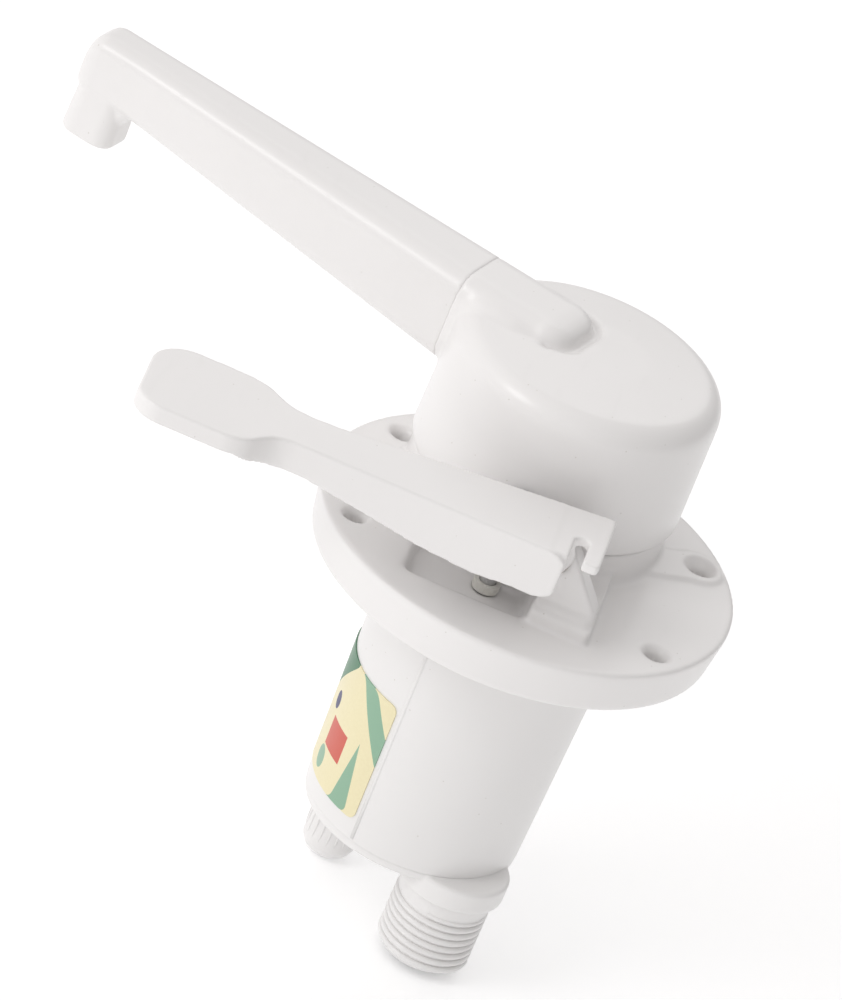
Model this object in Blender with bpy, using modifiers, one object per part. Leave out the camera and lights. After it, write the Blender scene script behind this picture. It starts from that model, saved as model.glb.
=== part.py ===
"""Deck-mounted hand pump with a rocking lever and a swivelling spout.

Metres, +Z up. The origin is the centre of the flange's underside, the face that rests on the deck.
The lever lies along X in front of the head, and the pump barrel hangs below the deck.
"""
import math

import bmesh
import bpy
from mathutils import Matrix, Vector

MM = 0.001
GAP = 0.3                       # space left between two pieces that touch, mm

# Flange and collar, mm
FLANGE_R = 47.0
FLANGE_T = 10.8
PAD_RISE = 0.5                  # the pads round the screw holes stand above the top
REBATE_R = 27.2                 # the barrel stands in a shallow rebate in the underside
REBATE = 1.2
HOLE_CIRCLE_R = 40.6
HOLE_R = 2.3
COUNTERSINK_R = 3.4
PAD_R = 5.8
HOLE_TURN = -3.7                # degrees, from the lever's direction
HOLE_ANGLES = [30 + HOLE_TURN, 150 + HOLE_TURN, 210 + HOLE_TURN, 330 + HOLE_TURN]
COLLAR_R = 29.4
COLLAR_TOP = 19.1
PLUG_R = 24.0                   # the boss that the barrel is pushed over
PLUG_BOTTOM = -8.0
WELL_X = (-22.5, 4.9)           # pocket in the flange under the lever
WELL_Y = (-31.0, -10.0)
WELL_FLOOR = 6.0

# Head and spout, mm
HEAD_X = -2.6
HEAD_Y = 15.5
HEAD_BOTTOM = COLLAR_TOP + GAP
HEAD_TOP = 52.4
HEAD_R_LOW = 30.6
HEAD_R_HIGH = 30.2
HEAD_WALL = 2.6
HEAD_BOSS_R = 15.0
SPOUT_ANGLE = 180 - 17.9        # degrees, direction of the spout at rest
NECK_END = 31.0                 # distance from the swivel axis to the joint of neck and spout
SPOUT_END = 131.6
SPOUT_TOP = 55.0
NECK_BOTTOM = 33.2
NECK_WIDTH = 19.8
TIP_WIDTH = 12.4
TIP_BOTTOM = 41.7
NOZZLE_LENGTH = 13.0
NOZZLE_BOTTOM = 32.1
WATERWAY_Z = 44.1
WATERWAY_R = 3.8
POST_R = 9.0
POST_BORE = 5.0
POST_TOP = 36.0

# Lever, mm
LEVER_TOP = 34.5
LEVER_SKIN = 2.4
LEVER_NEAR = -41.9
LEVER_FAR = -18.5               # at the right end; the far edge tapers from here
LEVER_TAPER = 0.158
LEVER_END = 15.2
LEVER_WALL = 2.3
PIVOT_X = 6.0
PIVOT_Z = 26.0
HUB_X = 3.8
HUB_Z = 28.6
HUB_R = 5.9
PIN_R = 1.9
LUG_Y = (-30.0, -23.5)
LUG_R = 4.8
PEDESTAL_X = (5.3, 19.2)
PEDESTAL_Y = (-32.4, -2.0)
PEDESTAL_TOP = 14.5
PADDLE_BOTTOM = 30.2

# Piston rod, piston and barrel, mm
ROD_X = -5.0
ROD_Y = -17.7
ROD_R = 1.9
EYE_Y = (-19.4, -16.0)
DRIVE_PIN_R = 1.4
BARREL_R_TOP = 26.5
BARREL_R_LOW = 24.6
BARREL_TOP = REBATE - GAP
BARREL_BOTTOM = -61.6
BARREL_BORE = 23.0
LINER_R = (21.9, 22.7)
PISTON_R = 20.6
PISTON_Z = (-49.0, -37.0)
BOSS_TOP = -29.0

# Bottom cap and connections, mm
CAP_BOTTOM = -63.8
CAP_PLATE_TOP = -58.5
INLET_X = 13.2
INLET_Y = -12.4
INLET_R = 10.67                 # half of 21.34 mm, a half-inch pipe thread
INLET_BORE = 7.4
INLET_BOTTOM = -85.8
INLET_BOSS_R = 12.2
INLET_BOSS_BOTTOM = -67.5
FOOT_X = 11.5
FOOT_Y = -10.8
DRAIN_X = -14.3
DRAIN_Y = 12.4
DRAIN_R = 4.3
DRAIN_CAP_R = 6.4
DRAIN_BOSS_R = 7.4
DRAIN_BOTTOM = -87.4

LABEL_ANGLES = (133.0, 243.0)   # degrees round the barrel
LABEL_Z = (-57.0, -26.5)
LABEL_T = 0.35

WHITE = (0.86, 0.85, 0.84)
STEEL = (0.62, 0.63, 0.64)
RUBBER = (0.03, 0.03, 0.03)
ACETAL = (0.78, 0.78, 0.74)
BRONZE = (0.55, 0.40, 0.20)


def clear_scene():
    for obj in list(bpy.data.objects):
        bpy.data.objects.remove(obj, do_unlink=True)


def make_collection(name):
    collection = bpy.data.collections.new(name)
    bpy.context.scene.collection.children.link(collection)
    return collection


clear_scene()
PUMP = make_collection("hand_pump")
CUTTERS = make_collection("cutters")


# ---------------------------------------------------------------- shapes
def finish(obj, colour, roughness, metallic=0.0):
    """Give a piece its own material and put it among the pump's pieces."""
    material = bpy.data.materials.new(obj.name)
    material.use_nodes = True
    shader = material.node_tree.nodes["Principled BSDF"]
    shader.inputs["Base Color"].default_value = (*colour, 1.0)
    shader.inputs["Roughness"].default_value = roughness
    shader.inputs["Metallic"].default_value = metallic
    obj.data.materials.clear()
    obj.data.materials.append(material)
    return obj


def white(obj):
    return finish(obj, WHITE, 0.35)


def steel(obj):
    return finish(obj, STEEL, 0.3, 1.0)


def rubber(obj):
    return finish(obj, RUBBER, 0.8)


def acetal(obj):
    return finish(obj, ACETAL, 0.45)


def add_object(name, data):
    obj = bpy.data.objects.new(name, data)
    PUMP.objects.link(obj)
    return obj


def turned(name, profile, x=0.0, y=0.0, steps=40):
    """A turned solid. The profile is (radius, height) pairs, down the outer side.

    A profile that starts and ends on the axis is left open there; any other is closed into a ring.
    """
    mesh = bpy.data.meshes.new(name)
    points = [(r * MM, 0.0, z * MM) for r, z in profile]
    edges = [(i, i + 1) for i in range(len(points) - 1)]
    on_axis = profile[0][0] == 0.0 and profile[-1][0] == 0.0
    if not on_axis:
        edges.append((len(points) - 1, 0))
    mesh.from_pydata(points, edges, [])
    obj = add_object(name, mesh)
    obj.location = (x * MM, y * MM, 0.0)
    screw = obj.modifiers.new("turn", "SCREW")
    screw.axis = "Z"
    screw.steps = steps
    screw.render_steps = steps
    screw.use_merge_vertices = True
    screw.merge_threshold = 0.00001
    screw.use_smooth_shade = True
    return obj


def rod(name, radius, low, high, x=0.0, y=0.0, steps=24):
    """A plain upright cylinder."""
    return turned(name, [(0.0, high), (radius, high), (radius, low), (0.0, low)], x, y, steps)


def ring(name, inner, outer, low, high, x=0.0, y=0.0, steps=32):
    """A plain upright tube."""
    profile = [(inner, high), (outer, high), (outer, low), (inner, low)]
    return turned(name, profile, x, y, steps)


def box(name, low, high):
    mesh = bpy.data.meshes.new(name)
    bm = bmesh.new()
    bmesh.ops.create_cube(bm, size=1.0)
    size = [(b - a) * MM for a, b in zip(low, high)]
    centre = [(a + b) / 2 * MM for a, b in zip(low, high)]
    bmesh.ops.scale(bm, vec=size, verts=bm.verts)
    bmesh.ops.translate(bm, vec=centre, verts=bm.verts)
    bm.to_mesh(mesh)
    bm.free()
    return add_object(name, mesh)


def plate(name, outline, low, high, upright=False):
    """A flat outline given thickness: upward from XY, or along Y for an upright XZ outline."""
    curve = bpy.data.curves.new(name, "CURVE")
    curve.dimensions = "2D"
    curve.fill_mode = "BOTH"
    curve.extrude = (high - low) / 2 * MM
    spline = curve.splines.new("POLY")
    spline.points.add(len(outline) - 1)
    for point, (a, b) in zip(spline.points, outline):
        point.co = (a * MM, b * MM, 0.0, 1.0)
    spline.use_cyclic_u = True
    flat = bpy.data.objects.new(name + "_outline", curve)
    bpy.context.scene.collection.objects.link(flat)
    bpy.context.view_layer.update()
    evaluated = flat.evaluated_get(bpy.context.evaluated_depsgraph_get())
    mesh = bpy.data.meshes.new_from_object(evaluated)
    bpy.data.objects.remove(flat, do_unlink=True)
    bm = bmesh.new()
    bm.from_mesh(mesh)
    bmesh.ops.remove_doubles(bm, verts=bm.verts, dist=0.000001)
    middle = (low + high) / 2 * MM
    if upright:
        turn = Matrix.Rotation(math.radians(90), 4, "X")
        bm.transform(Matrix.Translation((0.0, middle, 0.0)) @ turn)
    else:
        bm.transform(Matrix.Translation((0.0, 0.0, middle)))
    bmesh.ops.recalc_face_normals(bm, faces=bm.faces)
    bm.to_mesh(mesh)
    bm.free()
    mesh.name = name
    return add_object(name, mesh)


def arc(cx, cy, radius, start, end, count=8):
    """Points on a circle, from one angle in degrees to another."""
    angles = [math.radians(start + (end - start) * i / count) for i in range(count + 1)]
    return [(cx + radius * math.cos(a), cy + radius * math.sin(a)) for a in angles]


def loft(name, sections):
    """A closed skin over rings of points that all have the same count."""
    bm = bmesh.new()
    rings = [[bm.verts.new(p) for p in section] for section in sections]
    count = len(sections[0])
    for a, b in zip(rings, rings[1:]):
        for i in range(count):
            j = (i + 1) % count
            bm.faces.new((a[i], a[j], b[j], b[i]))
    bm.faces.new(list(reversed(rings[0])))
    bm.faces.new(rings[-1])
    bmesh.ops.recalc_face_normals(bm, faces=bm.faces)
    mesh = bpy.data.meshes.new(name)
    bm.to_mesh(mesh)
    bm.free()
    return add_object(name, mesh)


def lay_along(obj, start, end):
    """Turn an upright piece, modelled from z = 0 up, so that it runs from start to end (mm)."""
    direction = Vector(end) - Vector(start)
    obj.rotation_mode = "QUATERNION"
    obj.rotation_quaternion = direction.to_track_quat("Z", "Y")
    obj.location = Vector(start) * MM
    return obj


def pin_along_y(name, radius, x, z, low, high, steps=16):
    return lay_along(rod(name, radius, 0.0, high - low, steps=steps), (x, low, z), (x, high, z))


def ring_along_y(name, inner, outer, x, z, low, high, steps=16):
    return lay_along(ring(name, inner, outer, 0.0, high - low, steps=steps), (x, low, z), (x, high, z))


def combine(target, other, operation):
    """Cut, join or intersect with another shape, which becomes a hidden guide."""
    PUMP.objects.unlink(other)
    CUTTERS.objects.link(other)
    other.hide_render = True
    other.display_type = "WIRE"
    change = target.modifiers.new(other.name, "BOOLEAN")
    change.operation = operation
    change.object = other
    change.solver = "EXACT"
    return target


def cut(target, *others):
    for other in others:
        combine(target, other, "DIFFERENCE")
    return target


def join(target, *others):
    for other in others:
        combine(target, other, "UNION")
    return target


def around(cx, cy, radius, angle):
    a = math.radians(angle)
    return cx + radius * math.cos(a), cy + radius * math.sin(a)


# ---------------------------------------------------------------- base and deck flange
def make_base():
    base = turned("deck_flange", [
        (0.0, FLANGE_T), (FLANGE_R - 1.2, FLANGE_T), (FLANGE_R - 0.3, FLANGE_T - 0.4),
        (FLANGE_R, FLANGE_T - 1.3), (FLANGE_R - 1.5, 0.0), (REBATE_R, 0.0), (REBATE_R, REBATE),
        (PLUG_R, REBATE), (PLUG_R, -3.1), (PLUG_R - 1.4, -3.1), (PLUG_R - 1.4, -5.7), (PLUG_R, -5.7),
        (PLUG_R, PLUG_BOTTOM), (0.0, PLUG_BOTTOM)], steps=48)
    collar = rod("collar", COLLAR_R, FLANGE_T - 1.0, COLLAR_TOP, HEAD_X, HEAD_Y, 40)
    join(base, collar)
    for index, angle in enumerate(HOLE_ANGLES):
        x, y = around(0.0, 0.0, HOLE_CIRCLE_R - 1.0, angle)
        join(base, rod("screw_pad_%d" % index, PAD_R, FLANGE_T - 1.0, FLANGE_T + PAD_RISE, x, y, 20))
    pedestal = box("pedestal", (PEDESTAL_X[0], PEDESTAL_Y[0], FLANGE_T - 1.0),
                   (PEDESTAL_X[1], PEDESTAL_Y[1], PEDESTAL_TOP))
    outline = [(PEDESTAL_X[0] + 0.4, PEDESTAL_TOP - 1.5), (PEDESTAL_X[1] - 0.6, PEDESTAL_TOP - 1.5),
               (PEDESTAL_X[1] - 0.6, PEDESTAL_TOP + 2.0)]
    outline += arc(PIVOT_X, PIVOT_Z, LUG_R, 35, 205, 12)
    outline += [(PEDESTAL_X[0] + 0.4, PEDESTAL_TOP + 3.0)]
    fulcrum = plate("fulcrum_lug", outline, LUG_Y[0], LUG_Y[1], upright=True)
    post = turned("swivel_post", [
        (0.0, POST_TOP), (POST_R, POST_TOP), (POST_R, 34.9), (POST_R - 0.9, 34.9), (POST_R - 0.9, 33.5),
        (POST_R, 33.5), (POST_R, 27.3), (POST_R - 1.3, 27.3), (POST_R - 1.3, 24.9), (POST_R, 24.9),
        (POST_R, COLLAR_TOP - 1.0), (0.0, COLLAR_TOP - 1.0)], HEAD_X, HEAD_Y, 24)
    join(base, pedestal, fulcrum, post)
    waterway = rod("outlet_waterway", POST_BORE, PLUG_BOTTOM - 1.0, POST_TOP + 1.0, HEAD_X, HEAD_Y, 16)
    well = box("lever_well", (WELL_X[0], WELL_Y[0], WELL_FLOOR), (WELL_X[1], WELL_Y[1], 18.0))
    keep = rod("well_back_wall", COLLAR_R + 0.02, WELL_FLOOR - 1.0, 19.0, HEAD_X, HEAD_Y, 40)
    cut(well, keep)
    gland = rod("gland_pocket", 3.4, PLUG_BOTTOM - 1.0, 1.0, ROD_X, ROD_Y, 16)
    rod_hole = rod("rod_hole", ROD_R + GAP, 0.0, 12.0, ROD_X, ROD_Y, 16)
    pivot_hole = pin_along_y("pivot_hole", 3.0, PIVOT_X, PIVOT_Z, LUG_Y[0] - 1.0, LUG_Y[1] + 1.0)
    cut(base, waterway, well, gland, rod_hole, pivot_hole)
    for index, angle in enumerate(HOLE_ANGLES):
        x, y = around(0.0, 0.0, HOLE_CIRCLE_R, angle)
        hole = turned("screw_hole_%d" % index, [
            (0.0, FLANGE_T + 1.5), (COUNTERSINK_R + 1.0, FLANGE_T + 1.5), (HOLE_R, FLANGE_T - 1.4),
            (HOLE_R, -1.0), (0.0, -1.0)], x, y, 16)
        cut(base, hole)
    white(base)

    bush = ring_along_y("pivot_bush", PIN_R + 0.15, 2.8, PIVOT_X, PIVOT_Z, LUG_Y[0], LUG_Y[1])
    finish(bush, BRONZE, 0.4, 1.0)
    acetal(ring("rod_bush", ROD_R + 0.15, 3.15, PLUG_BOTTOM, -2.4, ROD_X, ROD_Y, 16))
    rubber(ring("rod_seal", ROD_R + 0.12, 3.15, -2.1, 0.7, ROD_X, ROD_Y, 16))
    rubber(ring("rod_wiper", ROD_R + 0.12, 3.0, WELL_FLOOR + GAP, WELL_FLOOR + 2.3, ROD_X, ROD_Y, 16))
    rubber(ring("barrel_seal", PLUG_R - 1.1, PLUG_R + 0.4, -5.4, -3.4, steps=40))
    rubber(ring("swivel_o_ring", POST_R - 1.0, POST_R + 0.2, 25.2, 27.0, HEAD_X, HEAD_Y, 24))
    clip = ring("swivel_clip", POST_R - 0.6, POST_R + 1.8, 33.8, 34.6, HEAD_X, HEAD_Y, 24)
    slot = box("clip_slot", (HEAD_X - 2.0, HEAD_Y, 33.0), (HEAD_X + 2.0, HEAD_Y + 14.0, 36.0))
    steel(cut(clip, slot))


# ---------------------------------------------------------------- barrel below the deck
def barrel_radius(z):
    """Outer radius of the tapered barrel at a height."""
    share = (BARREL_TOP - z) / (BARREL_TOP - BARREL_BOTTOM)
    return BARREL_R_TOP + (BARREL_R_LOW - BARREL_R_TOP) * share


def make_label():
    """A thin sticker that follows the taper of the barrel."""
    columns = 20
    bm = bmesh.new()
    grid = []
    for depth in (0.1, 0.1 + LABEL_T):
        for z in LABEL_Z:
            row = []
            for i in range(columns + 1):
                angle = LABEL_ANGLES[0] + (LABEL_ANGLES[1] - LABEL_ANGLES[0]) * i / columns
                x, y = around(0.0, 0.0, barrel_radius(z) + depth, angle)
                row.append(bm.verts.new((x * MM, y * MM, z * MM)))
            grid.append(row)
    inner_low, inner_high, outer_low, outer_high = grid
    for a, b in ((inner_low, inner_high), (inner_high, outer_high),
                 (outer_high, outer_low), (outer_low, inner_low)):
        for i in range(columns):
            bm.faces.new((a[i], a[i + 1], b[i + 1], b[i]))
    for i in (0, columns):
        bm.faces.new((inner_low[i], inner_high[i], outer_high[i], outer_low[i]))
    bmesh.ops.recalc_face_normals(bm, faces=bm.faces)
    mesh = bpy.data.meshes.new("label")
    bm.to_mesh(mesh)
    bm.free()
    finish(add_object("label", mesh), (0.75, 0.74, 0.52), 0.5)


def make_barrel():
    white(turned("pump_barrel", [
        (PLUG_R + 0.7, BARREL_TOP), (BARREL_R_TOP, BARREL_TOP), (BARREL_R_LOW, BARREL_BOTTOM),
        (BARREL_BORE, BARREL_BOTTOM), (BARREL_BORE, -9.6), (PLUG_R + 0.7, -9.6)], steps=48))
    steel(ring("barrel_liner", LINER_R[0], LINER_R[1], -56.5, -10.5, steps=40))
    make_label()


def make_bottom_cap():
    cap = turned("bottom_cap", [
        (0.0, CAP_PLATE_TOP), (BARREL_BORE - GAP, CAP_PLATE_TOP), (BARREL_BORE - GAP, -59.3),
        (BARREL_BORE - 1.7, -59.3), (BARREL_BORE - 1.7, -61.1), (BARREL_BORE - GAP, -61.1),
        (BARREL_BORE - GAP, BARREL_BOTTOM - GAP),
        (BARREL_R_LOW - 0.1, BARREL_BOTTOM - GAP), (BARREL_R_LOW - 0.3, CAP_BOTTOM),
        (0.0, CAP_BOTTOM)], steps=40)
    inlet_boss = rod("inlet_boss", INLET_BOSS_R, INLET_BOSS_BOTTOM, CAP_BOTTOM + 1.5, INLET_X, INLET_Y, 24)
    drain_boss = rod("drain_boss", DRAIN_BOSS_R, -66.6, CAP_BOTTOM + 1.5, DRAIN_X, DRAIN_Y, 16)
    join(cap, inlet_boss, drain_boss)
    socket = rod("inlet_socket", 9.4, INLET_BOSS_BOTTOM - 1.0, -63.4, INLET_X, INLET_Y, 24)
    drain_socket = rod("drain_socket", DRAIN_R + 0.2, -68.0, -61.5, DRAIN_X, DRAIN_Y, 24)
    drain_hole = rod("drain_hole", 1.6, -63.0, CAP_PLATE_TOP + 1.0, DRAIN_X, DRAIN_Y, 16)
    stem_hole = rod("foot_stem_hole", 1.5, -66.0, CAP_PLATE_TOP + 1.0, FOOT_X, FOOT_Y, 16)
    cut(cap, drain_socket, socket, drain_hole, stem_hole)
    for index in range(5):
        x, y = around(FOOT_X, FOOT_Y, 3.5, 72 * index + 9)
        cut(cap, rod("foot_port_%d" % index, 1.25, -66.0, CAP_PLATE_TOP + 1.0, x, y, 10))
    white(cap)
    rubber(ring("cap_seal", BARREL_BORE - 1.4, BARREL_BORE - 0.2, -60.8, -59.6, steps=40))

    top = INLET_BOSS_BOTTOM - GAP
    white(turned("inlet_spigot", [
        (INLET_BORE, -64.0), (9.0, -64.0), (9.0, top), (INLET_R, top), (INLET_R, INLET_BOTTOM + 1.0),
        (INLET_R - 1.0, INLET_BOTTOM), (INLET_BORE, INLET_BOTTOM)], INLET_X, INLET_Y, 36))
    white(turned("drain_spigot", [
        (1.6, -61.8), (DRAIN_R, -61.8), (DRAIN_R, DRAIN_BOTTOM + 3.0), (1.6, DRAIN_BOTTOM + 3.0)],
        DRAIN_X, DRAIN_Y, 24))
    white(turned("drain_cap", [
        (0.0, DRAIN_BOTTOM + 2.4), (DRAIN_R + 0.2, DRAIN_BOTTOM + 2.4), (DRAIN_R + 0.2, -67.2),
        (DRAIN_CAP_R, -67.2), (DRAIN_CAP_R, DRAIN_BOTTOM + 2.6), (DRAIN_CAP_R - 0.8, DRAIN_BOTTOM + 1.0),
        (DRAIN_CAP_R - 2.4, DRAIN_BOTTOM), (0.0, DRAIN_BOTTOM)], DRAIN_X, DRAIN_Y, 28))


def make_check_valve(name, x, y, seat, disc_r, stem_r, stem_low):
    """A mushroom valve: a rubber disc on a stem, which a small clip keeps in its seat."""
    rubber(turned(name + "_disc", [
        (0.0, seat + 2.4), (disc_r * 0.55, seat + 2.2), (disc_r, seat + GAP + 0.7),
        (disc_r, seat + GAP), (stem_r, seat + GAP), (stem_r, stem_low), (0.0, stem_low)], x, y, 24))


# ---------------------------------------------------------------- piston and rod
def make_piston():
    low, high = PISTON_Z
    piston = turned("piston", [
        (0.0, high), (PISTON_R, high), (PISTON_R, high - 3.0), (PISTON_R - 1.3, high - 3.0),
        (PISTON_R - 1.3, high - 5.4), (PISTON_R, high - 5.4), (PISTON_R, low + 3.6),
        (PISTON_R - 1.3, low + 3.6), (PISTON_R - 1.3, low + 1.2), (PISTON_R, low + 1.2), (PISTON_R, low),
        (PISTON_R - 3.0, low), (PISTON_R - 3.0, high - 3.5), (0.0, high - 3.5)], steps=40)
    boss = turned("rod_boss", [
        (0.0, high + 0.6), (ROD_R + 0.15, high + 0.6), (ROD_R + 0.15, BOSS_TOP), (2.9, BOSS_TOP),
        (2.9, high - 1.0), (0.0, high - 1.0)], ROD_X, ROD_Y, 16)
    join(piston, boss)
    cut(piston, rod("stem_hole", 2.0, low, high + 1.0, steps=16))
    for index in range(5):
        x, y = around(0.0, 0.0, 4.7, 72 * index + 7)
        cut(piston, rod("transfer_port_%d" % index, 1.6, low, high + 1.0, x, y, 10))
    acetal(piston)
    for name, z in (("piston_seal_upper", high - 5.4), ("piston_seal_lower", low + 1.2)):
        rubber(ring(name, PISTON_R - 1.0, LINER_R[0] - 0.25, z + 0.3, z + 2.1, steps=40))

    outline = arc(ROD_X, PIVOT_Z + 1.0, 5.4, -20, 200, 14)
    outline += [(ROD_X - 5.0, PIVOT_Z - 3.2), (ROD_X - 1.9, PIVOT_Z - 6.2),
                (ROD_X + 1.9, PIVOT_Z - 6.2), (ROD_X + 5.0, PIVOT_Z - 3.2)]
    eye = plate("piston_rod", outline, EYE_Y[0], EYE_Y[1], upright=True)
    join(eye, rod("rod_shank", ROD_R, high + 1.0, PIVOT_Z - 3.6, ROD_X, ROD_Y, 16))
    half = 1.75
    slot_outline = arc(ROD_X + 1.5, PIVOT_Z, half, -90, 90, 8) + arc(ROD_X - 1.3, PIVOT_Z, half, 90, 270, 8)
    cut(eye, plate("eye_slot", slot_outline, EYE_Y[0] - 1.0, EYE_Y[1] + 1.0, upright=True))
    steel(eye)
    nut = rod("rod_locknut", 3.5, BOSS_TOP + GAP, BOSS_TOP + 2.8, ROD_X, ROD_Y, 6)
    cut(nut, rod("nut_bore", ROD_R + 0.15, BOSS_TOP, BOSS_TOP + 4.0, ROD_X, ROD_Y, 16))
    steel(nut)


# ---------------------------------------------------------------- lever
def far_edge(x):
    """Where the lever's tapered far edge runs at x."""
    return LEVER_FAR - (LEVER_END - x) * LEVER_TAPER


def lever_outline():
    """Plan of the lever: straight near edge, tapered far edge and a flared paddle."""
    near = LEVER_NEAR
    paddle_near, paddle_far = -50.2, -22.4
    end = HUB_X + HUB_R + 0.1
    points = [(end, near), (end, far_edge(end)), (-47.0, far_edge(-47.0))]
    points += [(-53.0, -28.6), (-57.0, -28.0), (-60.2, -25.9), (-63.0, -23.6), (-67.0, -22.6)]
    points += [(-72.0, paddle_far)]
    points += arc(-79.0, paddle_far - 9.3, 9.3, 85, 172, 6)
    points += arc(-81.6, paddle_near + 6.6, 6.6, 190, 265, 5)
    points += [(-66.0, paddle_near), (-62.4, -48.6), (-60.0, -45.4), (-57.4, near - 0.9),
               (-54.0, near)]
    return points


def side_outline():
    """Side of the lever: flat top, rising underside, thin paddle and a round hub."""
    points = [(-90.0, LEVER_TOP), (-90.0, PADDLE_BOTTOM), (-64.5, PADDLE_BOTTOM), (-61.0, 28.4),
              (-57.0, 27.3), (-50.0, 27.3), (-34.4, 25.1), (-21.7, 23.0), (-9.0, 22.0),
              (HUB_X - 4.0, HUB_Z - HUB_R + 0.1)]
    points += arc(HUB_X, HUB_Z, HUB_R, -90, 90, 16)
    return points


def make_lever():
    near = LEVER_NEAR
    underside = LEVER_TOP - LEVER_SKIN
    lever = plate("lever", lever_outline(), 18.0, LEVER_TOP)
    side = plate("lever_side", side_outline(), near - 12.0, LEVER_FAR + 2.0, upright=True)
    combine(lever, side, "INTERSECT")
    tab = plate("lever_tab", [
        (-4.0, near + 1.2), (LEVER_END, near + 1.2), (LEVER_END, far_edge(LEVER_END)),
        (-4.0, far_edge(-4.0) - 0.05)], underside + 0.1, LEVER_TOP - 0.1)
    far_cheek = plate("lever_far_cheek", [
        (3.0, far_edge(3.0) - LEVER_WALL), (LEVER_END - 0.5, far_edge(LEVER_END) - LEVER_WALL),
        (LEVER_END - 0.5, far_edge(LEVER_END) - 0.2), (3.0, far_edge(3.0) - 0.2)], 24.6, underside + 1.0)
    join(lever, tab, far_cheek)
    channel = plate("lever_channel", [
        (-54.0, near + LEVER_WALL), (-3.0, near + LEVER_WALL), (-3.0, LUG_Y[0] - 0.5),
        (22.0, LUG_Y[0] - 0.5), (22.0, far_edge(22.0) - LEVER_WALL),
        (-47.0, far_edge(-47.0) - LEVER_WALL), (-54.0, -31.0)], 10.0, underside)
    notch_outline = [(8.9, near - 2.0), (12.2, near - 2.0), (12.2, -32.8)]
    notch_outline += arc(10.55, -32.8, 1.65, 0, 180, 8)[1:]
    notch = plate("lever_notch", notch_outline, 20.0, LEVER_TOP + 2.0)
    pivot = pin_along_y("lever_pivot_bore", PIN_R + 0.15, PIVOT_X, PIVOT_Z, near + 0.8, -15.0, 16)
    drive = pin_along_y("drive_pin_bore", DRIVE_PIN_R + 0.15, ROD_X, PIVOT_Z, -26.0, -15.0, 16)
    cut(lever, channel, notch, pivot, drive)
    white(lever)

    far = far_edge(ROD_X)
    inner = far - LEVER_WALL
    steel(pin_along_y("pivot_pin", PIN_R, PIVOT_X, PIVOT_Z, near + 1.0, far_edge(PIVOT_X) - 0.2, 16))
    steel(pin_along_y("drive_pin", DRIVE_PIN_R, ROD_X, PIVOT_Z, inner - 2.2, -15.4, 16))
    acetal(ring_along_y("drive_pin_washer", DRIVE_PIN_R + 0.15, 3.2, ROD_X, PIVOT_Z, inner - 1.9, inner - 0.9, 16))


# ---------------------------------------------------------------- head and spout
def spout_point(s, across, z):
    """Metres. A point s along the spout from the swivel axis, and across it towards the back."""
    a = math.radians(SPOUT_ANGLE)
    x = HEAD_X + s * math.cos(a) + across * math.sin(a)
    y = HEAD_Y + s * math.sin(a) - across * math.cos(a)
    return (x * MM, y * MM, z * MM)


def spout_section(s, width, low, high, corner):
    """Ring of points of a rounded rectangle across the spout."""
    points = []
    w = width / 2 - corner
    for ca, cz, start in ((w, high - corner, 0), (-w, high - corner, 90),
                          (-w, low + corner, 180), (w, low + corner, 270)):
        for a, z in arc(ca, cz, corner, start, start + 90, 4):
            points.append(spout_point(s, a, z))
    return points


def spout_sides(s):
    """Width, underside, top and corner radius of the spout at a distance along it."""
    share = (s - NECK_END) / (SPOUT_END - NOZZLE_LENGTH - NECK_END)
    share = min(max(share, 0.0), 1.0)
    width = NECK_WIDTH + (TIP_WIDTH - NECK_WIDTH) * share
    low = NECK_BOTTOM + (TIP_BOTTOM - NECK_BOTTOM) * share
    corner = 5.0 + (3.4 - 5.0) * share
    return width, low, SPOUT_TOP + 1.4 * share, corner


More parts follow.
